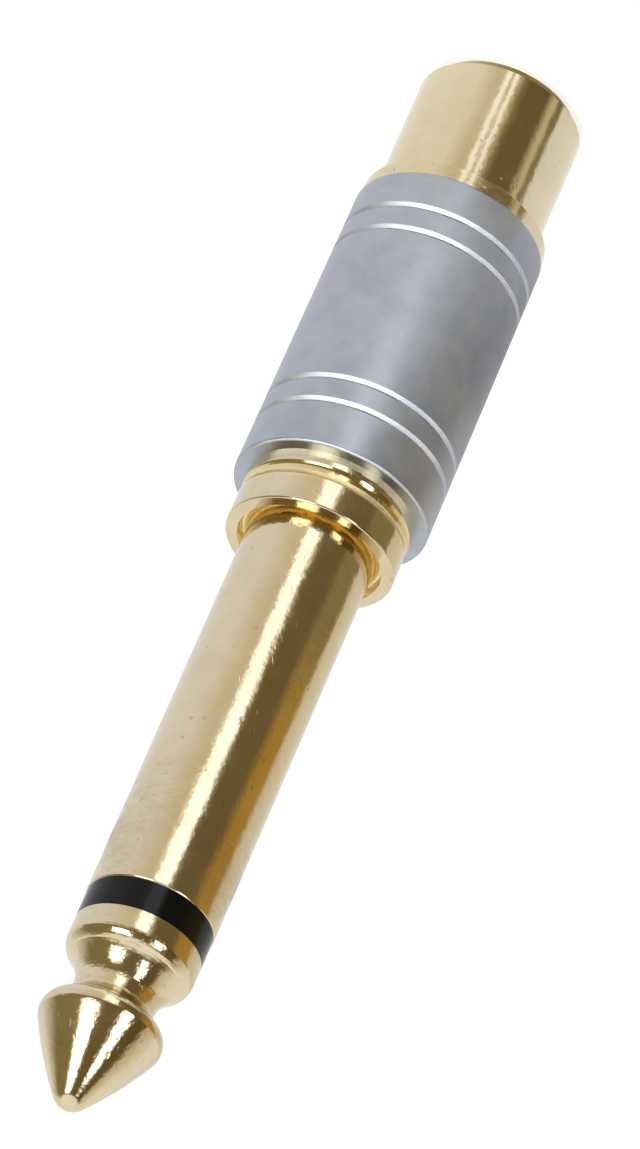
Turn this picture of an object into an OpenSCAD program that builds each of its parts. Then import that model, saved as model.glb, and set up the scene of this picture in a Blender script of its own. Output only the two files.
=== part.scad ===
// Adapter with a 6.35 mm two-pole jack plug at one end and a phono socket at the other.
// It stands on the phono socket's rim, with the plug's tip up, and every piece is on the Z axis.
// Z is counted from the rim: phono barrel, shell, collar, shaft, insulating ring, tip.

/* [Phono socket barrel] */
// Outside diameter of the barrel that a phono plug's skirt grips
socket_d = 8.3; // [8.0:0.1:8.6]
// Length of the barrel from its rim to its flange
socket_len = 7.3; // [5:0.1:10]
// Diameter of the flange that stops against the shell
flange_d = 9.4; // [8.8:0.1:9.5]
// Thickness of the flange
flange_t = 0.8; // [0.5:0.1:1.5]
// Bore of the barrel at its mouth
mouth_d = 6.6; // [6.2:0.1:6.8]
// Length of the press-fit stub inside the shell
socket_stub_len = 5.0; // [4:0.1:6]
// Depth of the chamfer round the rim's outer edge
rim_chamfer = 0.5; // [0.3:0.05:0.5]
// Length of that chamfer along the barrel
rim_chamfer_len = 0.6; // [0.3:0.05:1]
// Chamfer inside the mouth
mouth_lead_in = 0.15; // [0.05:0.05:0.2]

/* [Shell] */
// Length of the grey shell
shell_len = 16.8; // [16:0.05:20]
// Outside diameter of the shell at the phono end
shell_back_d = 9.6; // [9.6:0.1:10.5]
// Outside diameter of the shell at the jack end
shell_front_d = 9.8; // [9.6:0.1:10.5]
// Bore that both press-fit stubs sit in
shell_bore_d = 8.0; // [7.8:0.1:8.2]
// Rounding of the shell's edges
shell_round = 0.15; // [0.1:0.05:0.3]
// Distance from the shell's phono end to its nearest groove
groove_back_inset = 2.1; // [1:0.1:3]
// Distance from the shell's jack end to its nearest groove
groove_front_inset = 2.55; // [1:0.05:3]
// Distance between the two grooves of a pair
groove_pitch = 1.42; // [0.8:0.02:2]
// Width of a groove
groove_w = 0.34; // [0.2:0.02:0.5]
// Depth of a groove
groove_depth = 0.15; // [0.05:0.01:0.25]

/* [Jack barrel] */
// Diameter of the plug's shaft
shaft_d = 6.35; // [6.2:0.05:6.4]
// Length of the shaft from the collar's face to the insulating ring
shaft_len = 21.55; // [19:0.05:24]
// Diameter of the shoulder that stops against the shell
shoulder_d = 8.45; // [8.4:0.05:9.2]
// Thickness of the shoulder
shoulder_t = 0.65; // [0.5:0.05:1.5]
// Diameter at the bottom of the hollow relief turned between the shoulder and the collar
relief_d = 8.2; // [8.0:0.02:8.26]
// Width of the relief
relief_w = 0.8; // [0.5:0.05:1.2]
// Diameter of the collar
collar_d = 8.45; // [8.35:0.05:8.6]
// Length of the collar
collar_len = 1.5; // [1:0.1:3]
// Outside diameter of the recess round the root of the shaft
recess_d = 7.25; // [6.8:0.05:7.4]
// Depth of the recess
recess_depth = 0.6; // [0.3:0.05:0.8]
// How much wider the shaft's root gets down in the recess
root_flare = 0.04; // [0.02:0.01:0.1]
// How far behind the collar's face the root starts to widen
root_inset = 0.1; // [0.05:0.05:0.15]
// Rounding of the collar's front edge
collar_round = 0.1; // [0.06:0.02:0.24]
// Rounding of the shaft's front edge
shaft_round = 0.1; // [0.05:0.01:0.2]
// Bore that the rod passes through
barrel_bore_d = 3.8; // [3.5:0.1:4.0]
// Length of the press-fit stub inside the shell
jack_stub_len = 4.6; // [4:0.1:5.5]

/* [Tip] */
// Diameter of the tip's base
tip_base_d = 6.26; // [6.0:0.02:6.3]
// Length of the base, from the ring to its crest
tip_base_len = 1.6; // [1:0.02:2]
// Rounding of the base's front edge
tip_base_round = 0.8; // [0.6:0.02:1]
// How far the crest lies in from the base's side
tip_crest_in = 0.4; // [0.25:0.01:0.42]
// Diameter of the neck
tip_neck_d = 4.0; // [3.8:0.1:4.4]
// Distance from the crest to the narrowest part of the neck
tip_neck_rise = 1.68; // [1.4:0.02:2]
// Largest diameter of the head
tip_head_d = 6.04; // [5.8:0.02:6.2]
// Distance from the neck to the widest part of the head
tip_head_rise = 1.58; // [1.4:0.02:2]
// Rounding of the head at its widest part
tip_head_round = 0.78; // [0.6:0.02:0.9]
// Length of the head from its widest part to its nose
tip_head_len = 4.45; // [4:0.01:5]
// Radius of the nose
tip_nose_round = 0.96; // [0.8:0.02:1.2]
// Angle that the head's bowed side turns through over half its length
tip_cone_bow = 5; // [1:0.5:6]

/* [Insulating ring] */
// Diameter of the ring between the shaft and the tip
ring_d = 6.26; // [6.1:0.02:6.35]
// Thickness of the ring
ring_t = 1.6; // [1.2:0.1:2.2]
// Diameter of the ring's spigot inside the shaft
ring_spigot_d = 4.6; // [4.2:0.1:5.0]
// Length of the ring's spigot
ring_spigot_len = 3.0; // [2:0.1:4]

/* [Centre conductor] */
// Diameter of the rod
rod_d = 2.5; // [2.2:0.1:2.6]
// Depth of the rod's seat inside the tip
rod_seat_len = 4.2; // [3:0.1:5]
// Outside diameter of the slotted contact
contact_d = 4.2; // [4.0:0.1:4.4]
// Bore of the contact, for a phono plug's pin
contact_bore_d = 3.2; // [3.1:0.05:3.3]
// Width of the contact's slots
contact_slot_w = 0.35; // [0.2:0.05:0.5]
// Length of the contact's slots
contact_slot_len = 7.6; // [5:0.1:9]
// Number of tines that the slots leave
contact_tines = 4; // [2:2:4]
// Diameter of the contact's flange behind the insulator
contact_flange_d = 5.6; // [5:0.1:6.5]
// Thickness of the contact's flange
contact_flange_t = 0.7; // [0.4:0.1:1]
// Depth of the threaded socket in the contact's rear end
contact_socket_len = 1.7; // [1.4:0.1:2]
// Thickness of metal between the pin's bore and the threaded socket
contact_web = 0.5; // [0.4:0.1:0.8]

/* [Rod fixings] */
// Width across the flats of the nut
nut_af = 5.0; // [4:0.1:5.5]
// Thickness of the nut
nut_t = 1.6; // [1:0.1:2]
// Diameter of the washer under the nut
washer_d = 5.6; // [5:0.1:6.5]
// Thickness of the washer
washer_t = 0.35; // [0.2:0.05:0.6]
// Diameter of the rear bush's flange
bush_flange_d = 7.0; // [6.6:0.1:7.4]
// Thickness of the rear bush's flange
bush_flange_t = 0.7; // [0.5:0.1:1]
// Diameter of the rear bush's spigot inside the barrel
bush_spigot_d = 5.0; // [4.6:0.1:5.6]
// Length of the rear bush's spigot
bush_spigot_len = 1.6; // [1:0.1:2.5]

/* [Socket insulator] */
// How far the insulator's face lies behind the rim
insulator_recess = 0.6; // [0.3:0.1:1.5]
// Diameter of the insulator's wider part inside the stub
insulator_back_d = 7.2; // [7.1:0.1:7.3]
// Thickness of the lip in front of the contact
insulator_lip_t = 0.65; // [0.4:0.05:1]
// Hole through the lip
insulator_hole_d = 3.7; // [3.5:0.1:4.0]
// Diameter of the countersink at the insulator's face
insulator_sink_d = 4.9; // [4.4:0.1:5.4]
// Distance from the rim to the shoulder inside the barrel
shoulder_inset = 6.5; // [5:0.1:6.9]

/* [Fits] */
// Play on the diameter of pieces that slide together
slide_play = 0.1; // [0.02:0.02:0.2]
// Chamfer at the mouth of a bore and at the ends of the rod
lead_in = 0.25; // [0.1:0.05:0.3]
// Length of the plain pilot that leads each stub into the shell
pilot_len = 0.4; // [0.2:0.1:0.8]
// Ridges round each press-fit stub
knurl_count = 36; // [24:2:48]
// Depth of those ridges
knurl_depth = 0.1; // [0.05:0.01:0.15]

/* [Hidden] */
$fn = 96;
past = 1;
gold = [0.86, 0.72, 0.42];
nickel = [0.66, 0.67, 0.69];
black_plastic = [0.12, 0.12, 0.13];
white_plastic = [0.88, 0.87, 0.82];
steel = [0.72, 0.73, 0.75];

// Heights of the seats along the axis
shell_z = socket_len + flange_t;
shell_top_z = shell_z + shell_len;
shoulder_top_z = shell_top_z + shoulder_t;
collar_z = shoulder_top_z + relief_w;
collar_top_z = collar_z + collar_len;
shaft_top_z = collar_top_z + shaft_len;
ring_top_z = shaft_top_z + ring_t;
tip_crest_z = ring_top_z + tip_base_len;
tip_neck_z = tip_crest_z + tip_neck_rise;
tip_head_z = tip_neck_z + tip_head_rise;
tip_top_z = tip_head_z + tip_head_len;
stub_end_z = shell_z + socket_stub_len;
barrel_end_z = shell_top_z - jack_stub_len;
pilot_d = shell_bore_d - 2 * knurl_depth - slide_play;
shell_back_wall = (shell_back_d - shell_bore_d) / 2;
shell_front_wall = (shell_front_d - shell_bore_d) / 2;
bush_z = barrel_end_z - bush_flange_t;
washer_z = bush_z - washer_t;
nut_z = washer_z - nut_t;
contact_z = insulator_recess + insulator_lip_t;
contact_socket_z = nut_z - contact_socket_len;
contact_bore_top_z = contact_socket_z - contact_web;
rod_z = contact_socket_z + slide_play;
rod_top_z = ring_top_z + rod_seat_len;
liner_z = barrel_end_z + bush_spigot_len + slide_play;
liner_top_z = shaft_top_z - ring_spigot_len - slide_play;

// Radius of the shell's outside at a height
function shell_r(z) = (shell_back_d + (shell_front_d - shell_back_d) * (z - shell_z) / shell_len) / 2;

// Points on a round edge, in radius and height, from one angle to another
function arc(centre_r, centre_z, radius, from, to, steps = 8) =
    [for (i = [0:steps]) let (a = from + (to - from) * i / steps)
        [centre_r + radius * cos(a), centre_z + radius * sin(a)]];

// Points from one place to another on an arc that leaves the straight line by an angle, outwards if above 0
function bowed(start, end, turn, steps = 8) =
    let (lean = atan2(end[1] - start[1], end[0] - start[0]) - 90,
         radius = norm(end - start) / 2 / sin(turn),
         centre = (start + end) / 2 - radius * cos(turn) * [cos(lean), sin(lean)])
    arc(centre[0], centre[1], radius, lean - turn, lean + turn, steps);

// Points of a V groove in the shell
function groove(z) = [
    [shell_r(z - groove_w / 2), z - groove_w / 2],
    [shell_r(z) - groove_depth, z],
    [shell_r(z + groove_w / 2), z + groove_w / 2]];

// A solid turned from its outline, given from the axis outwards and back
module turned(outline) rotate_extrude() polygon(outline);

// A hole on the axis
module hole(d, z0, z1) translate([0, 0, z0]) cylinder(d = d, h = z1 - z0);

// The chamfer at a hole's lower mouth
module mouth_chamfer(d, z, size) translate([0, 0, z - past])
    cylinder(r1 = d / 2 + size + past, r2 = d / 2, h = size + past);

// Straight knurl that bites into the shell's bore
module knurl(z0, z1) translate([0, 0, z0]) linear_extrude(z1 - z0)
    polygon([for (i = [0:2 * knurl_count - 1]) let (r = shell_bore_d / 2 - (i % 2) * knurl_depth)
        [r * cos(180 * i / knurl_count), r * sin(180 * i / knurl_count)]]);

// Outer contact of the phono socket: barrel, flange and knurled stub in one turned piece
module rca_barrel() color(gold) difference() {
    union() {
        turned(concat(
            [[0, 0], [socket_d / 2 - rim_chamfer, 0],
             [socket_d / 2, rim_chamfer_len], [socket_d / 2, socket_len]],
            arc(flange_d / 2 - shaft_round, socket_len + shaft_round, shaft_round, -90, 0, 5),
            [[flange_d / 2, shell_z], [pilot_d / 2, shell_z], [pilot_d / 2, stub_end_z], [0, stub_end_z]]));
        knurl(shell_z - flange_t / 2, stub_end_z - pilot_len);
    }
    hole(mouth_d, -past, shoulder_inset + past);
    mouth_chamfer(mouth_d, 0, mouth_lead_in);
    hole(insulator_back_d, shoulder_inset, stub_end_z + past);
}

// Moulded insulator, trapped between the barrel's inner shoulder and the contact's flange
module socket_insulator() color(white_plastic) difference() {
    turned([
        [0, insulator_recess],
        [mouth_d / 2 - lead_in, insulator_recess],
        [mouth_d / 2, insulator_recess + lead_in],
        [mouth_d / 2, shoulder_inset],
        [insulator_back_d / 2, shoulder_inset],
        [insulator_back_d / 2, stub_end_z],
        [0, stub_end_z]]);
    hole(insulator_hole_d, insulator_recess - past, contact_z + past);
    mouth_chamfer(insulator_hole_d, insulator_recess, (insulator_sink_d - insulator_hole_d) / 2);
    hole(contact_d + slide_play, contact_z, stub_end_z + past);
}

// Slotted tube that grips the phono plug's pin, with a threaded socket behind for the rod
module centre_contact() color(gold) difference() {
    union() {
        translate([0, 0, contact_z]) cylinder(d = contact_d, h = nut_z - contact_z);
        translate([0, 0, stub_end_z]) cylinder(d = contact_flange_d, h = contact_flange_t);
    }
    hole(contact_bore_d, contact_z - past, contact_bore_top_z);
    mouth_chamfer(contact_bore_d, contact_z, lead_in);
    for (i = [0:contact_tines / 2 - 1]) rotate(i * 360 / contact_tines)
        translate([-contact_d, -contact_slot_w / 2, contact_z - past])
            cube([2 * contact_d, contact_slot_w, contact_slot_len + past]);
    hole(rod_d, contact_socket_z, nut_z + past);
}

// Grey shell with two pairs of grooves, pressed over both stubs
module body_shell() {
    chamfer = min(lead_in, shell_back_wall / 3);
    back_round = min(shell_round, shell_back_wall / 3);
    front_round = min(shell_round, shell_front_wall / 3);
    color(nickel) turned(concat(
        [[shell_bore_d / 2, shell_z + chamfer], [shell_bore_d / 2 + chamfer, shell_z]],
        arc(shell_back_d / 2 - back_round, shell_z + back_round, back_round, -90, 0, 6),
        groove(shell_z + groove_back_inset),
        groove(shell_z + groove_back_inset + groove_pitch),
        groove(shell_top_z - groove_front_inset - groove_pitch),
        groove(shell_top_z - groove_front_inset),
        arc(shell_front_d / 2 - front_round, shell_top_z - front_round, front_round, 0, 90, 6),
        [[shell_bore_d / 2, shell_top_z]]));
}

// Sleeve contact of the plug: knurled stub, shoulder, relief, collar with its recess, and shaft
module jack_barrel() {
    relief_start = [shoulder_d / 2, shoulder_top_z];
    relief_end = [collar_d / 2, collar_z];
    relief_depth = (shoulder_d + collar_d) / 4 - relief_d / 2;
    relief_turn = 2 * atan(2 * relief_depth / norm(relief_end - relief_start));
    root_r = (shaft_d + root_flare) / 2;
    recess_round = (recess_d / 2 - root_r) / 2;
    recess_centre_z = collar_top_z - recess_depth + recess_round;
    color(gold) difference() {
        union() {
            turned(concat(
                [[0, barrel_end_z], [pilot_d / 2, barrel_end_z], [pilot_d / 2, shell_top_z],
                 [shoulder_d / 2, shell_top_z]],
                bowed(relief_start, relief_end, -relief_turn),
                arc(collar_d / 2 - collar_round, collar_top_z - collar_round, collar_round, 0, 90),
                [[recess_d / 2, collar_top_z]],
                arc(root_r + recess_round, recess_centre_z, recess_round, 0, -180, 10),
                [[shaft_d / 2, collar_top_z - root_inset]],
                arc(shaft_d / 2 - shaft_round, shaft_top_z - shaft_round, shaft_round, 0, 90, 5),
                [[0, shaft_top_z]]));
            knurl(barrel_end_z + pilot_len, shell_top_z + shoulder_t / 2);
        }
        hole(barrel_bore_d, barrel_end_z - past, shaft_top_z + past);
        hole(bush_spigot_d, barrel_end_z - past, barrel_end_z + bush_spigot_len);
        hole(ring_spigot_d, shaft_top_z - ring_spigot_len, shaft_top_z + past);
    }
}

// Flanged bush that centres the rod at the rear of the barrel
module rear_bush() color(white_plastic) difference() {
    turned([
        [0, bush_z], [bush_flange_d / 2, bush_z], [bush_flange_d / 2, barrel_end_z],
        [bush_spigot_d / 2, barrel_end_z], [bush_spigot_d / 2, barrel_end_z + bush_spigot_len],
        [0, barrel_end_z + bush_spigot_len]]);
    hole(rod_d + slide_play, bush_z - past, barrel_end_z + bush_spigot_len + past);
}

// Flat washer between the nut and the bush
module rod_washer() color(steel) difference() {
    translate([0, 0, washer_z]) cylinder(d = washer_d, h = washer_t);
    hole(rod_d + slide_play, washer_z - past, bush_z + past);
}

// Nut that pulls the rod, the tip and the ring tight against the shaft
module rod_nut() color(steel) difference() {
    intersection() {
        translate([0, 0, nut_z]) cylinder(d = nut_af / cos(30), h = nut_t, $fn = 6);
        turned([
            [0, nut_z], [nut_af / 2, nut_z], [nut_af / cos(30) / 2, nut_z + lead_in],
            [nut_af / cos(30) / 2, washer_z], [0, washer_z]]);
    }
    hole(rod_d, nut_z - past, washer_z + past);
}

// Rod that joins the contact to the tip
module centre_rod() color(steel) turned([
    [0, rod_z], [rod_d / 2 - lead_in, rod_z], [rod_d / 2, rod_z + lead_in],
    [rod_d / 2, rod_top_z - lead_in], [rod_d / 2 - lead_in, rod_top_z], [0, rod_top_z]]);

// Insulating tube over the rod, between the bush and the ring
module rod_liner() color(white_plastic) difference() {
    translate([0, 0, liner_z]) cylinder(d = barrel_bore_d - slide_play, h = liner_top_z - liner_z);
    hole(rod_d + slide_play, liner_z - past, liner_top_z + past);
}

// Black ring between the shaft and the tip, with its spigot inside the shaft
module tip_ring() color(black_plastic) difference() {
    turned([
        [0, shaft_top_z - ring_spigot_len], [ring_spigot_d / 2, shaft_top_z - ring_spigot_len],
        [ring_spigot_d / 2, shaft_top_z], [ring_d / 2, shaft_top_z],
        [ring_d / 2, ring_top_z], [0, ring_top_z]]);
    hole(rod_d + slide_play, shaft_top_z - ring_spigot_len - past, ring_top_z + past);
}

// Tip: base with a rounded edge, hollow neck, round-shouldered head and rounded nose.
// The curve from the crest to the neck and the S from the neck to the head both stand upright at the neck.
// The head's cone is the line that touches the head's rounding and the nose, bowed out a little.
module jack_tip() {
    base_r = tip_base_d / 2;
    crest_r = base_r - tip_crest_in;
    neck_r = tip_neck_d / 2;
    head_r = tip_head_d / 2;
    edge_turn = acos(1 - tip_crest_in / tip_base_round);
    hollow_turn = 2 * atan((crest_r - neck_r) / tip_neck_rise);
    hollow_round = tip_neck_rise / sin(hollow_turn);
    flare_turn = 2 * atan((head_r - neck_r) / tip_head_rise);
    flare_round = tip_head_rise / sin(flare_turn) - tip_head_round;
    round_r = head_r - tip_head_round;
    nose_z = tip_top_z - tip_nose_round;
    cone_turn = acos((tip_nose_round - tip_head_round) / norm([round_r, nose_z - tip_head_z]))
        - atan2(nose_z - tip_head_z, round_r);
    shoulder_arc = arc(round_r, tip_head_z, tip_head_round, -flare_turn, cone_turn - tip_cone_bow, 14);
    nose_arc = arc(0, nose_z, tip_nose_round, cone_turn + tip_cone_bow, 90, 14);
    cone_arc = bowed(shoulder_arc[len(shoulder_arc) - 1], nose_arc[0], tip_cone_bow);
    color(gold) difference() {
        turned(concat(
            [[0, ring_top_z], [base_r, ring_top_z]],
            arc(base_r - tip_base_round, tip_crest_z - tip_base_round * sin(edge_turn),
                tip_base_round, 0, edge_turn),
            arc(neck_r + hollow_round, tip_neck_z, hollow_round, 180 + hollow_turn, 180, 12),
            arc(neck_r + flare_round, tip_neck_z, flare_round, 180, 180 - flare_turn, 12),
            shoulder_arc,
            [for (i = [1:len(cone_arc) - 2]) cone_arc[i]],
            nose_arc));
        hole(rod_d, ring_top_z - past, rod_top_z + slide_play);
    }
}

rca_barrel();
socket_insulator();
centre_contact();
body_shell();
jack_barrel();
rear_bush();
rod_washer();
rod_nut();
centre_rod();
rod_liner();
tip_ring();
jack_tip();
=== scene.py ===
import math

import bpy
from mathutils import Matrix, Vector


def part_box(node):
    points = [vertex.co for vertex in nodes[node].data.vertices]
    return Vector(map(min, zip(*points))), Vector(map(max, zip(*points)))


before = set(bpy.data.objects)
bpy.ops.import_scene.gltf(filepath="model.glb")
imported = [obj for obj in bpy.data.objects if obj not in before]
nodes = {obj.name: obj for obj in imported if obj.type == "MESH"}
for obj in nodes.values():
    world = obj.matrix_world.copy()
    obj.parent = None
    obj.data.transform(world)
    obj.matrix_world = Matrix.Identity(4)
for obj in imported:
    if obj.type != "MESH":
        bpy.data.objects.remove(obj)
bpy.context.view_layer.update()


# Phono socket's barrel
# The barrel, its flange and the stub inside the shell are turned from one brass bar, tumbled and
# plated with nickel and a flash of gold. The plating is a mirror with a pale, champagne tint.

def linear(hex_colour):
    """An sRGB hex colour as the linear colour that a socket takes."""
    shares = [int(hex_colour[i:i + 2], 16) / 255 for i in (1, 3, 5)]
    return [s / 12.92 if s <= 0.04045 else ((s + 0.055) / 1.055) ** 2.4 for s in shares] + [1.0]


def add(tree, kind, inputs=None, **settings):
    """Adds a node. inputs gives each socket, by name or number, a value or another node's output."""
    node = tree.nodes.new("ShaderNode" + kind)
    for name, value in settings.items():
        setattr(node, name, value)
    for socket, value in (inputs or {}).items():
        if isinstance(value, bpy.types.NodeSocket):
            tree.links.new(value, node.inputs[socket])
        else:
            node.inputs[socket].default_value = value
    return node


def new_material(name):
    """An empty node material and its output node."""
    material = bpy.data.materials.new(name)
    material.use_nodes = True
    material.node_tree.nodes.clear()
    return material, material.node_tree, add(material.node_tree, "OutputMaterial")


def finish_node(node_name, material):
    """Gives a CAD node its finish."""
    mesh = nodes[node_name].data
    mesh.materials.clear()
    mesh.materials.append(material)


def millimetres(tree):
    """A place on the piece, counted in millimetres."""
    place = add(tree, "TexCoord").outputs["Object"]
    return add(tree, "VectorMath", {0: place, 1: (1000, 1000, 1000)}, operation="MULTIPLY").outputs[0]


def unrolled(tree):
    """A place on a turned surface in millimetres, with the way round laid out flat. The seam is at
    the back, +Y."""
    place = add(tree, "SeparateXYZ", {0: millimetres(tree)})
    front = add(tree, "Math", {0: place.outputs[1], 1: -1.0}, operation="MULTIPLY")
    turn = add(tree, "Math", {0: place.outputs[0], 1: front.outputs[0]}, operation="ARCTAN2")
    flat = add(tree, "CombineXYZ", {0: place.outputs[0], 1: place.outputs[1]})
    radius = add(tree, "VectorMath", {0: flat.outputs[0]}, operation="LENGTH")
    around = add(tree, "Math", {0: turn.outputs[0], 1: radius.outputs["Value"]}, operation="MULTIPLY")
    return add(tree, "CombineXYZ", {0: around.outputs[0], 1: place.outputs[2]}).outputs[0]


def marks(tree, place, size, share, edge):
    """Scattered marks of uneven shape and strength, as a share from 0 to 1. size is the spacing along
    the three directions, share how many of the places have a mark, and edge how far one reaches."""
    scaled = add(tree, "VectorMath", {0: place, 1: [1 / length for length in size]}, operation="MULTIPLY")
    bend = add(tree, "TexNoise", {"Vector": scaled.outputs[0], "Scale": 1.8, "Detail": 2})
    bent = add(tree, "VectorMath", {0: bend.outputs["Color"], 1: (0.6, 0.6, 0.6), 2: scaled.outputs[0]},
               operation="MULTIPLY_ADD")
    cells = add(tree, "TexVoronoi", {"Vector": bent.outputs[0], "Scale": 1, "Randomness": 1})
    shape = add(tree, "MapRange", {"Value": cells.outputs["Distance"], "From Min": edge / 4,
                                   "From Max": edge, "To Min": 1, "To Max": 0},
                interpolation_type="SMOOTHSTEP")
    chance = add(tree, "SeparateColor", {"Color": cells.outputs["Color"]})
    chosen = add(tree, "Math", {0: chance.outputs[0], 1: 1 - share}, operation="GREATER_THAN")
    strength = add(tree, "Math", {0: chosen.outputs[0], 1: chance.outputs[1]}, operation="MULTIPLY")
    return add(tree, "Math", {0: shape.outputs[0], 1: strength.outputs[0]}, operation="MULTIPLY").outputs[0]


def inside_band(tree, place, low, high, reach):
    """1 between two heights and inside a radius, in millimetres, and 0 elsewhere, with a soft edge."""
    soft = 0.03
    parts = add(tree, "SeparateXYZ", {0: place})
    flat = add(tree, "CombineXYZ", {0: parts.outputs[0], 1: parts.outputs[1]})
    radius = add(tree, "VectorMath", {0: flat.outputs[0]}, operation="LENGTH")
    above = add(tree, "MapRange", {"Value": parts.outputs[2], "From Min": low - soft,
                                   "From Max": low + soft})
    below = add(tree, "MapRange", {"Value": parts.outputs[2], "From Min": high - soft,
                                   "From Max": high + soft, "To Min": 1, "To Max": 0})
    within = add(tree, "MapRange", {"Value": radius.outputs["Value"], "From Min": reach,
                                    "From Max": reach + soft, "To Min": 1, "To Max": 0})
    both = add(tree, "Math", {0: above.outputs[0], 1: below.outputs[0]}, operation="MULTIPLY")
    return add(tree, "Math", {0: both.outputs[0], 1: within.outputs[0]}, operation="MULTIPLY").outputs[0]


def gold_plating(name, pit_share, scratch_share, ripple_size, ripple_strength, painted_interreflection_bands=()):
    """Bright gold plating on turned brass. It mirrors what is round it, softened and bent a little
    by the ripple of the plating, and pits, rub marks and smears from handling break the mirror up.
    The bands, each two heights and a radius, are painted a deeper, more saturated gold: a painted
    reflection of gold seen in gold in hollows."""
    # Real pits and rub marks are a few hundredths of a millimetre wide, and these are drawn coarser so
    # that they show. The turning lines are 0.07 mm apart, as the tool was fed.
    pit_spacing, turning_pitch, smear_size = 0.55, 0.07, 2.2
    scratch_length, scratch_spacing, scratch_lean = 0.9, 0.12, -28
    # The deepest gold is a painted reflection colour for hollows.
    champagne, pale_champagne, interreflected_gold_tint, pit_brown = "#D6C6A2", "#DCCEAC", "#E6D29E", "#C0AC8A"
    material, tree, output = new_material(name)
    place = millimetres(tree)
    ripple = add(tree, "TexNoise", {"Vector": place, "Scale": 1 / ripple_size, "Detail": 4,
                                    "Roughness": 0.55})
    smear = add(tree, "TexNoise", {"Vector": place, "Scale": 1 / smear_size, "Detail": 4, "Roughness": 0.6,
                                   "Distortion": 0.6})
    squeezed = add(tree, "VectorMath", {0: place, 1: (0.15, 0.15, 1 / turning_pitch)}, operation="MULTIPLY")
    turning = add(tree, "TexNoise", {"Vector": squeezed.outputs[0], "Scale": 1, "Detail": 2})
    pits = marks(tree, place, [pit_spacing] * 3, pit_share, 0.3)
    leaned = add(tree, "VectorRotate", {"Vector": unrolled(tree), "Angle": math.radians(scratch_lean)},
                 rotation_type="Z_AXIS")
    scratches = marks(tree, leaned.outputs[0], (scratch_spacing, scratch_length, 1), scratch_share, 0.3)
    spread = add(tree, "MapRange", {"Value": smear.outputs["Fac"], "From Min": 0.35, "From Max": 0.65})
    tone = add(tree, "MixRGB", {"Fac": spread.outputs[0], "Color1": linear(champagne),
                                "Color2": linear(pale_champagne)})
    # Painted reflection: the bands get a deeper, more saturated gold, as gold mirrored in gold looks in
    # hollows.
    for low, high, reach in painted_interreflection_bands:
        tone = add(tree, "MixRGB", {"Fac": inside_band(tree, place, low, high, reach),
                                    "Color1": tone.outputs[0], "Color2": linear(interreflected_gold_tint)})
    pitted = add(tree, "MixRGB", {"Fac": pits, "Color1": tone.outputs[0], "Color2": linear(pit_brown)})
    rub = add(tree, "MapRange", {"Value": spread.outputs[0], "To Min": 0.1, "To Max": 0.15})
    worn = add(tree, "Math", {0: pits, 1: 0.2, 2: rub.outputs[0]}, operation="MULTIPLY_ADD")
    rough = add(tree, "Math", {0: scratches, 1: 0.16, 2: worn.outputs[0]}, operation="MULTIPLY_ADD")
    wave = add(tree, "Bump", {"Height": ripple.outputs["Fac"], "Strength": ripple_strength,
                              "Distance": 0.0002})
    lines = add(tree, "Bump", {"Height": turning.outputs["Fac"], "Strength": 0.04, "Distance": 0.00002,
                               "Normal": wave.outputs[0]})
    dents = add(tree, "Bump", {"Height": pits, "Strength": 0.25, "Distance": 0.00003,
                               "Normal": lines.outputs[0]}, invert=True)
    grooves = add(tree, "Bump", {"Height": scratches, "Strength": 0.4, "Distance": 0.00001,
                                 "Normal": dents.outputs[0]}, invert=True)
    metal = add(tree, "BsdfPrincipled", {"Base Color": pitted.outputs[0], "Metallic": 1.0,
                                         "Roughness": rough.outputs[0], "Normal": grooves.outputs[0]})
    tree.links.new(metal.outputs[0], output.inputs["Surface"])
    return material


finish_node("rca_barrel", gold_plating("gold_plated_brass_socket", pit_share=0.12, scratch_share=0.08,
                                       ripple_size=0.9, ripple_strength=0.12))


# Socket insulator
# A moulded polypropylene sleeve fills the mouth and holds the centre contact on the axis.
# It is milky white, with the fine grain of its mould.

def moulded_plastic(name, hex_colour, roughness, grain_size, ior, specular=0.5):
    """Plastic as it comes from the mould: even colour, low gloss, and the mould's fine grain."""
    shade, gloss_spread = 0.82, 0.06
    material, tree, output = new_material(name)
    place = millimetres(tree)
    grain = add(tree, "TexNoise", {"Vector": place, "Scale": 1 / grain_size, "Detail": 4})
    cloud = add(tree, "TexNoise", {"Vector": place, "Scale": 0.6, "Detail": 2})
    darker = [shade * share for share in linear(hex_colour)[:3]] + [1.0]
    tone = add(tree, "MixRGB", {"Fac": cloud.outputs["Fac"], "Color1": darker, "Color2": linear(hex_colour)})
    gloss = add(tree, "MapRange", {"Value": grain.outputs["Fac"], "To Min": roughness - gloss_spread,
                                   "To Max": roughness + gloss_spread})
    bump = add(tree, "Bump", {"Height": grain.outputs["Fac"], "Strength": 0.12, "Distance": 0.00003})
    plastic = add(tree, "BsdfPrincipled", {"Base Color": tone.outputs[0], "Roughness": gloss.outputs[0],
                                           "IOR": ior, "Specular IOR Level": specular,
                                           "Normal": bump.outputs[0]})
    tree.links.new(plastic.outputs[0], output.inputs["Surface"])
    return material


finish_node("socket_insulator", moulded_plastic("milky_polypropylene", "#E9E6DC", roughness=0.45,
                                                grain_size=0.12, ior=1.49))


# Centre contact
# A slotted brass tube grips the phono plug's pin. It is plated as the barrel is, with fewer marks
# because nothing rubs it but the pin.

finish_node("centre_contact", gold_plating("gold_plated_brass_contact", pit_share=0.05,
                                           scratch_share=0.0, ripple_size=1.1, ripple_strength=0.1))


# Shell
# The grey shell is turned brass, blasted with fine beads and plated with satin nickel, then pressed
# over both stubs. Its surface is an even, cloudy grey with a broad soft shine.

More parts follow.
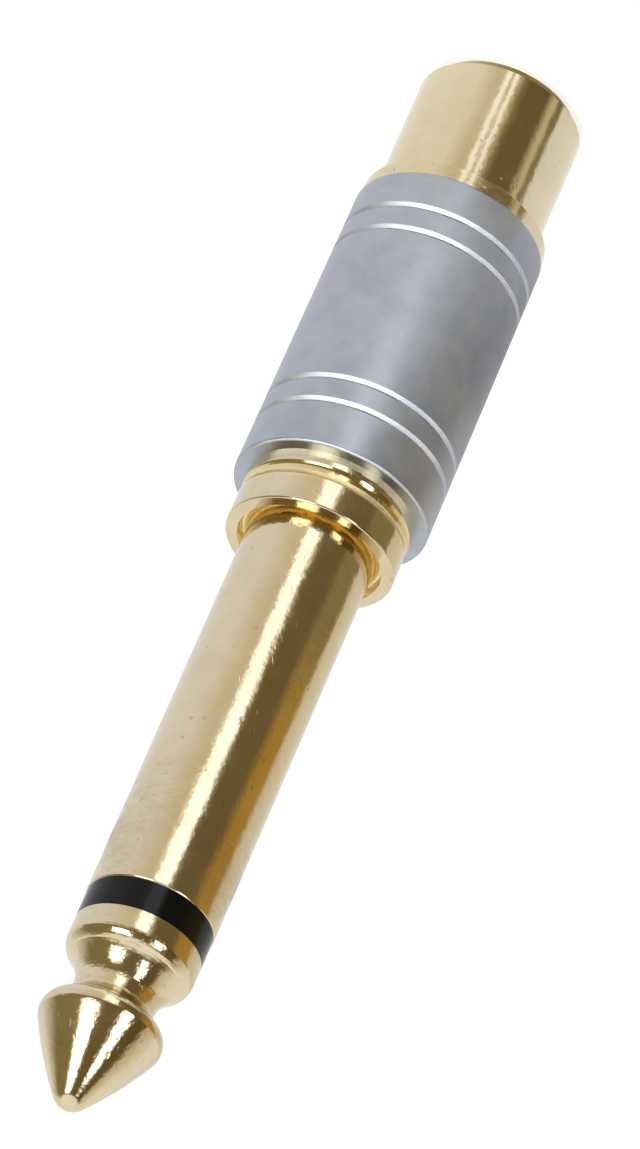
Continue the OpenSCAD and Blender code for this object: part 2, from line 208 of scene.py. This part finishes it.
def satin_nickel(name, end_face, face_reach):
    """Nickel plated over a bead-blasted surface, with the grain of the beads and faint clouds from
    handling. A few small nicks show darker. The front end face, at a height and inside a radius, is
    faced after blasting, so it is a little smoother and mirrors the gold beside it softly."""
    # Fine beads leave dents about 0.05 mm apart, and handling leaves clouds about 1.5 mm wide.
    bead_size, cloud_size, nick_spacing = 0.05, 1.5, 1.6
    least_roughness, most_roughness, faced_roughness = 0.36, 0.42, 0.32
    below_face, above_face = 0.05, 1
    cool_grey, pale_grey, nick_grey = "#A5ABB5", "#B4B7BC", "#6E6C6C"
    material, tree, output = new_material(name)
    place = millimetres(tree)
    beads = add(tree, "TexNoise", {"Vector": place, "Scale": 1 / bead_size, "Detail": 3, "Roughness": 0.7})
    cloud = add(tree, "TexNoise", {"Vector": place, "Scale": 1 / cloud_size, "Detail": 4, "Roughness": 0.65})
    spread = add(tree, "MapRange", {"Value": cloud.outputs["Fac"], "From Min": 0.35, "From Max": 0.65})
    nicks = marks(tree, place, [nick_spacing] * 3, 0.08, 0.16)
    tone = add(tree, "MixRGB", {"Fac": spread.outputs[0], "Color1": linear(cool_grey),
                                "Color2": linear(pale_grey)})
    nicked = add(tree, "MixRGB", {"Fac": nicks, "Color1": tone.outputs[0], "Color2": linear(nick_grey)})
    gloss = add(tree, "MapRange", {"Value": spread.outputs[0], "To Min": least_roughness,
                                   "To Max": most_roughness})
    faced = inside_band(tree, place, end_face - below_face, end_face + above_face, face_reach)
    rough = add(tree, "MapRange", {"Value": faced, "To Min": gloss.outputs[0], "To Max": faced_roughness})
    bump = add(tree, "Bump", {"Height": beads.outputs["Fac"], "Strength": 0.25, "Distance": 0.00001})
    metal = add(tree, "BsdfPrincipled", {"Base Color": nicked.outputs[0], "Metallic": 1.0,
                                         "Roughness": rough.outputs[0], "Normal": bump.outputs[0]})
    tree.links.new(metal.outputs[0], output.inputs["Surface"])
    return material


shell_front, face_reach = 1000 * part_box("body_shell")[1][2], 4.74
finish_node("body_shell", satin_nickel("satin_nickel_plated_brass", shell_front, face_reach))


# Jack barrel
# Stub, shoulder, collar and shaft are turned from one brass bar and gold plated. The shaft is what
# a socket's springs rub, so its plating has the most pits. The relief behind the collar and the
# recess in its face are painted a deeper gold, a painted reflection of the gold round them.

# Each band of painted deeper gold is a lowest height, a highest height and a radius, in millimetres.
relief = (shell_front + 0.7, shell_front + 1.55, 4.4)
recess = (shell_front + 2.3, shell_front + 2.9, 3.65)
finish_node("jack_barrel", gold_plating("gold_plated_brass_shaft", pit_share=0.22, scratch_share=0.2,
                                        ripple_size=0.9, ripple_strength=0.13,
                                        painted_interreflection_bands=(relief, recess)))


# Rod and its fixings, inside the shell
# A drawn brass rod carries the tip's signal to the centre contact. A zinc-plated nut and washer
# pull it tight against a moulded bush, and a moulded tube keeps it off the shaft's bore.

def bare_metal(name, hex_colour, roughness, line_pitch):
    """Bare or zinc-plated metal with fine rings round it, drawn a little coarser so that they show."""
    shade = 0.75
    material, tree, output = new_material(name)
    place = millimetres(tree)
    squeezed = add(tree, "VectorMath", {0: place, 1: (0.2, 0.2, 1 / line_pitch)}, operation="MULTIPLY")
    rings = add(tree, "TexNoise", {"Vector": squeezed.outputs[0], "Scale": 1, "Detail": 3})
    darker = [shade * share for share in linear(hex_colour)[:3]] + [1.0]
    tone = add(tree, "MixRGB", {"Fac": rings.outputs["Fac"], "Color1": darker, "Color2": linear(hex_colour)})
    bump = add(tree, "Bump", {"Height": rings.outputs["Fac"], "Strength": 0.2, "Distance": 0.00003})
    metal = add(tree, "BsdfPrincipled", {"Base Color": tone.outputs[0], "Metallic": 1.0,
                                         "Roughness": roughness, "Normal": bump.outputs[0]})
    tree.links.new(metal.outputs[0], output.inputs["Surface"])
    return material


finish_node("centre_rod", bare_metal("drawn_brass", "#C9A866", roughness=0.3, line_pitch=0.1))
zinc_plated_steel = bare_metal("zinc_plated_steel", "#B9BBBF", roughness=0.35, line_pitch=0.1)
finish_node("rod_nut", zinc_plated_steel)
finish_node("rod_washer", zinc_plated_steel)
natural_nylon = moulded_plastic("natural_nylon", "#E2DFD2", roughness=0.5, grain_size=0.15, ior=1.53)
finish_node("rear_bush", natural_nylon)
finish_node("rod_liner", natural_nylon)


# Insulating ring
# A black acetal ring, moulded a hair smaller than the shaft, parts the tip from it. It is smooth
# and dark, and its thin soft shine down one side is a painted reflection from a strip of the shaft's card.

finish_node("tip_ring", moulded_plastic("black_acetal", "#0B0B0B", roughness=0.14, grain_size=0.1,
                                        ior=1.48, specular=0.22))


# Tip
# The tip is turned from brass, pressed on the rod and plated with the barrel, so it has the same
# champagne mirror. Its cone has the small marks of going in and out of sockets.

finish_node("jack_tip", gold_plating("gold_plated_brass_tip", pit_share=0.25, scratch_share=0.2,
                                     ripple_size=0.35, ripple_strength=0.1))


# Table and background
# The adapter stands on its phono rim on a plain white table. Camera, glossy and transmission rays
# get a light lift there, so that it renders white and metal shows it white, and keeps the shadow.

def stage_mesh(name, corners, faces, material):
    """A piece of the studio, which isn't part of the adapter."""
    mesh = bpy.data.meshes.new(name)
    mesh.from_pydata(corners, [], faces)
    mesh.materials.append(material)
    piece = bpy.data.objects.new(name, mesh)
    bpy.context.scene.collection.objects.link(piece)
    return piece


def white_table(name):
    """Matt white card that camera, glossy and transmission rays see a little brighter."""
    lift_strength = 0.45
    material, tree, output = new_material(name)
    light_path = add(tree, "LightPath")
    seen = add(tree, "Math", {0: light_path.outputs["Is Camera Ray"], 1: light_path.outputs["Is Glossy Ray"]},
               operation="ADD")
    seen = add(tree, "Math", {0: seen.outputs[0], 1: light_path.outputs["Is Transmission Ray"]},
               operation="ADD")
    lift = add(tree, "Math", {0: seen.outputs[0], 1: lift_strength}, operation="MULTIPLY")
    glow = add(tree, "Emission", {"Color": linear("#FFFFFF"), "Strength": lift.outputs[0]})
    matt = add(tree, "BsdfDiffuse", {"Color": linear("#E7E7E7")})
    both = add(tree, "AddShader", {0: matt.outputs[0], 1: glow.outputs[0]})
    tree.links.new(both.outputs[0], output.inputs["Surface"])
    return material


table_half = 1.5
corners = [(x * table_half, y * table_half, 0) for x, y in ((-1, -1), (1, -1), (1, 1), (-1, 1))]
stage_mesh("table", corners, [(0, 1, 2, 3)], white_table("white_table"))

room_strength = 0.75
world = bpy.data.worlds.new("white_studio")
bpy.context.scene.world = world
world.use_nodes = True
room_light = world.node_tree.nodes["Background"]
room_light.inputs["Color"].default_value = linear("#FFFFFF")
room_light.inputs["Strength"].default_value = room_strength


# Reflecting boards, painted reflections
# Gold shows what stands round it. Cards that only glossy rays see lie on the table round the
# adapter, for the rim, the barrel, the shell and the shaft. A dome of card over all is for the tip.
# The cards are no lamps but glow, and their bands are painted reflections: bright streaks are
# painted highlights and dark sides are painted shade.

camera_rise = math.radians(32.2)
whole_turn = range(-180, 181)


def from_front(degrees):
    """The level direction at a number of degrees from the front, -Y, towards -X."""
    turn = math.radians(degrees)
    return Vector((-math.sin(turn), -math.cos(turn), 0))


def tone_at(stops, degrees):
    """A card's linear colour in a direction, between the two stops beside it. A stop is a number of
    degrees, a colour and how many times brighter than that colour the card glows."""
    for (start, start_colour, start_gain), (end, end_colour, end_gain) in zip(stops, stops[1:]):
        if degrees <= end:
            first = start_gain * Vector(linear(start_colour)[:3])
            last = end_gain * Vector(linear(end_colour)[:3])
            return first.lerp(last, (degrees - start) / (end - start))


def table_ring(radius, height):
    """A ring of points on the table, one for each degree. An upright cylinder of the given radius,
    seen by the camera, mirrors each at the given height and at half the point's angle round."""
    reach = height / math.tan(camera_rise)
    lift = Vector((0, 0, 0.00005))
    return [radius * from_front(degrees / 2) + reach * from_front(degrees) + lift
            for degrees in whole_turn]


def dome_ring(elevation):
    """A ring of points on the dome, one for each degree."""
    dome_radius, lift, turn = 0.45, 0.0001, math.radians(elevation)
    rise = Vector((0, 0, dome_radius * math.sin(turn) + lift))
    return [dome_radius * math.cos(turn) * from_front(degrees) + rise for degrees in whole_turn]


def board(name, rings):
    """A glowing card of painted reflections that only glossy rays see, through rings of points with
    the stops of their tones.
    """
    corners, tones, faces = [], [], []
    for points, stops in rings:
        corners += points
        tones += [tone_at(stops, degrees) for degrees in whole_turn]
    around = len(points)
    for row in range(len(rings) - 1):
        for step in range(around - 1):
            corner = row * around + step
            faces.append((corner, corner + 1, corner + 1 + around, corner + around))
    piece = stage_mesh(name, corners, faces, card)
    layer = piece.data.color_attributes.new("tone", "FLOAT_COLOR", "POINT")
    for place, tone in zip(layer.data, tones):
        place.color = (*tone, 1)
    piece.visible_camera = False
    piece.visible_diffuse = False
    piece.visible_transmission = False
    piece.visible_volume_scatter = False
    piece.visible_shadow = False


# The cards glow with their painted reflection tones, though they are no lamps.
card, card_tree, card_output = new_material("glowing_reflection_card")
painted_tone_attribute = add(card_tree, "Attribute", attribute_name="tone")
card_glow = add(card_tree, "Emission", {"Color": painted_tone_attribute.outputs["Color"], "Strength": 1.0})
card_tree.links.new(card_glow.outputs[0], card_output.inputs["Surface"])

# Colours of the painted reflections, which all the glowing cards share.
white, cool_white, highlight_glow, cream, straw = "#FFFFFF", "#F4F4FC", "#F0F4FF", "#E4DCCC", "#D8CCB0"
khaki, brown, dark_brown, ochre = "#908460", "#786848", "#685838", "#B89448"
light_grey, pale_grey, grey, slate = "#E8E8E8", "#B8B4B4", "#A0A0A0", "#605850"

# The foot of the phono barrel mirrors the table under its own rim, which is dull in front: the khaki
# there is a painted shadow, the rim's shade on the table.
rim_shadow_stops = [(-180, white, 1), (-120, cream, 1), (0, khaki, 1), (80, khaki, 1), (140, cream, 1),
             (180, white, 1)]
rim_inner_radius, barrel_radius = 0.0036, 0.00415
board("rim_shadow_board", [(table_ring(rim_inner_radius, 0), rim_shadow_stops), (table_ring(barrel_radius, 0), rim_shadow_stops)])

# The phono barrel's card paints its reflections: two thin bright lines in front, which are painted
# highlights, and painted shade that makes it dark on the picture's right, with one paler line.
barrel_stops = [(-180, white, 1), (-50, white, 1), (-27, cream, 1), (-17, cream, 1),
                (-14, highlight_glow, 1.5), (-9, highlight_glow, 1.5), (-7, cream, 1), (-4, cream, 1),
                (-2.5, highlight_glow, 1.5), (1, highlight_glow, 1.5), (4, straw, 1), (12, khaki, 1), (20, brown, 1),
                (50, brown, 1), (60, straw, 1), (65, straw, 1), (68, khaki, 1), (76, khaki, 1),
                (80, cool_white, 1), (180, white, 1)]
flange_radius, flange_z, shell_z = 0.0047, 0.0073, 0.0081
board("barrel_board", [(table_ring(barrel_radius, 0), barrel_stops),
                       (table_ring(barrel_radius, flange_z), barrel_stops),
                       (table_ring(flange_radius, shell_z), barrel_stops)])

# The satin shell blurs its card, a painted reflection, which glows brighter towards both ends of the
# shell as a painted sheen.
shell_stops = [(-180, cool_white, 1), (-60, cool_white, 1), (-10, white, 1), (20, light_grey, 1),
               (60, grey, 1), (110, grey, 1), (150, pale_grey, 1), (180, cool_white, 1)]
shell_end_sheen_stops = [(-180, cool_white, 1), (-60, white, 1), (-10, white, 1.5), (20, white, 1.9),
                   (60, white, 1.2), (110, light_grey, 1), (150, pale_grey, 1), (180, cool_white, 1)]
collar_radius, seam_z, end_fade = 0.0043, 0.0210, 0.004
board("shell_board", [(table_ring(flange_radius, shell_z), shell_end_sheen_stops),
                      (table_ring(flange_radius, shell_z + end_fade), shell_stops),
                      (table_ring(collar_radius, seam_z - end_fade), shell_stops),
                      (table_ring(collar_radius, seam_z), shell_end_sheen_stops)])

# The shaft's card paints one broad bright streak, a painted highlight, and a brown side of painted
# shade, with an orange edge nearer the tip. A narrow strip of the card, with two bright lines, paints
# the black ring's highlights.
near_stops = [(-180, cool_white, 1), (-70, cool_white, 1), (-30, cream, 1), (-19, cream, 1),
              (-16.5, highlight_glow, 2), (2, highlight_glow, 2), (9, khaki, 1), (16, brown, 1), (55, brown, 1),
              (63, khaki, 1), (100, khaki, 1), (104, cream, 1), (180, cool_white, 1)]
far_stops = [(-180, cool_white, 1), (-70, cool_white, 1), (-30, cream, 1), (-16.5, cream, 1),
             (-13.5, highlight_glow, 2), (6, highlight_glow, 2), (12, khaki, 1), (18, brown, 1), (55, brown, 1),
             (70, ochre, 1), (95, ochre, 1), (104, cream, 1), (180, cool_white, 1)]
ring_highlight_stops = [(-180, pale_grey, 1), (-24, pale_grey, 1), (-15, white, 4), (-10, white, 4),
              (-7, pale_grey, 1), (-4, pale_grey, 1), (-2, white, 4), (4, white, 4), (8, slate, 1),
              (80, slate, 1), (120, pale_grey, 1), (180, pale_grey, 1)]
shaft_radius, orange_z, orange_fade = 0.003175, 0.0365, 0.002
ring_z, strip_reach, strip_fade, base_z = 0.0502, 0.0006, 0.0009, 0.0620
board("shaft_board", [(table_ring(collar_radius, seam_z), near_stops),
                      (table_ring(shaft_radius, orange_z - orange_fade), near_stops),
                      (table_ring(shaft_radius, orange_z + orange_fade), far_stops),
                      (table_ring(shaft_radius, ring_z - strip_fade), far_stops),
                      (table_ring(shaft_radius, ring_z - strip_reach), ring_highlight_stops),
                      (table_ring(shaft_radius, ring_z + strip_reach), ring_highlight_stops),
                      (table_ring(shaft_radius, ring_z + strip_fade), far_stops),
                      (table_ring(shaft_radius, base_z), far_stops)])

# The tip mirrors the table farther out and the dome, which is painted dark in front as painted shade
# and glows bright on top as a painted highlight.
dome_stops = [(-180, white, 1), (-138, white, 1), (-100, khaki, 1), (-70, khaki, 1), (0, brown, 1),
              (50, dark_brown, 1), (70, dark_brown, 1), (77, straw, 1), (88, cream, 1), (110, white, 1),
              (180, white, 1)]
dark_stops = [(-180, white, 1), (-125, white, 1), (-100, khaki, 1), (-60, khaki, 1), (-10, brown, 1),
              (20, dark_brown, 1), (80, dark_brown, 1), (95, straw, 1), (110, white, 1), (180, white, 1)]
top_stops = [(-180, white, 1.1), (180, white, 1.1)]
far_reach, dome_foot = 0.20, 0.24
low_edge, dark_edge, bright_edge, zenith = 40, 52, 57, 90
board("tip_board", [(table_ring(shaft_radius, base_z), far_stops),
                    (table_ring(shaft_radius, far_reach), far_stops),
                    (table_ring(shaft_radius, dome_foot), dome_stops), (dome_ring(0), dome_stops),
                    (dome_ring(low_edge), dome_stops)])
board("top_board", [(dome_ring(low_edge), dark_stops), (dome_ring(dark_edge), dark_stops),
                    (dome_ring(bright_edge), top_stops), (dome_ring(zenith), top_stops)])


# Lamps
# Two soft boxes in front and above light the plastics softly, and the round edges of the gold show
# them as small bright marks. Three strips light only the shell, so that its grooves show bright.
# The names go by the picture, whose left is +X, because the camera is nearly upside down.

def soft_box(name, degrees, elevation, width, height, power):
    """A soft box that faces the adapter, at a number of degrees from the front towards -X."""
    distance, middle = 0.40, Vector((0, 0, 0.03))
    rise = math.radians(elevation)
    away = math.cos(rise) * from_front(degrees) + Vector((0, 0, math.sin(rise)))
    place = middle + distance * away
    lamp = bpy.data.lights.new(name, "AREA")
    lamp.shape = "RECTANGLE"
    lamp.size, lamp.size_y = width, height
    lamp.energy = power
    box = bpy.data.objects.new(name, lamp)
    box.location = place
    box.rotation_euler = (middle - place).to_track_quat("-Z", "Y").to_euler()
    bpy.context.scene.collection.objects.link(box)
    return box


soft_box("left_lamp", degrees=-34, elevation=30, width=0.19, height=0.22, power=0.50)
soft_box("right_lamp", degrees=33, elevation=20, width=0.11, height=0.28, power=0.38)
strip_length, strip_width = 0.35, 0.08
shell_only = bpy.data.collections.new("lit_by_strips")
shell_only.objects.link(nodes["body_shell"])
for name, degrees, elevation, power in (("front_strip", -8, 50, 0.8), ("left_strip", -80, 40, 0.5),
                                        ("right_strip", 75, 40, 0.3)):
    strip = soft_box(name, degrees, elevation, strip_length, strip_width, power)
    strip.light_linking.receiver_collection = shell_only


# Camera
# A long lens looks down on the standing adapter, turned so that the tip points down and to the
# left of the picture, as in the photograph.

tip_lean = math.radians(23.59)
photo_long_side, lens_in_pixels, sensor = 1149, 9500, 36.0
aim = Vector((0, 0, 0.02872))
distance = 0.44707
shift_right, shift_up = -0.00082, 0.00031
forward = Vector((0, math.cos(camera_rise), -math.sin(camera_rise)))
level, upward = Vector((1, 0, 0)), Vector((0, math.sin(camera_rise), math.cos(camera_rise)))
right = -math.cos(tip_lean) * level - math.sin(tip_lean) * upward
up = math.sin(tip_lean) * level - math.cos(tip_lean) * upward
camera_data = bpy.data.cameras.new("camera")
camera_data.sensor_width = sensor
camera_data.lens = lens_in_pixels * sensor / photo_long_side
camera_data.clip_start, camera_data.clip_end = 0.01, 10
camera = bpy.data.objects.new("camera", camera_data)
bpy.context.scene.collection.objects.link(camera)
camera.matrix_world = Matrix((right, up, -forward)).transposed().to_4x4()
camera.location = aim - shift_right * right - shift_up * up - distance * forward
bpy.context.scene.camera = camera
bpy.context.scene.view_settings.view_transform = "Standard"
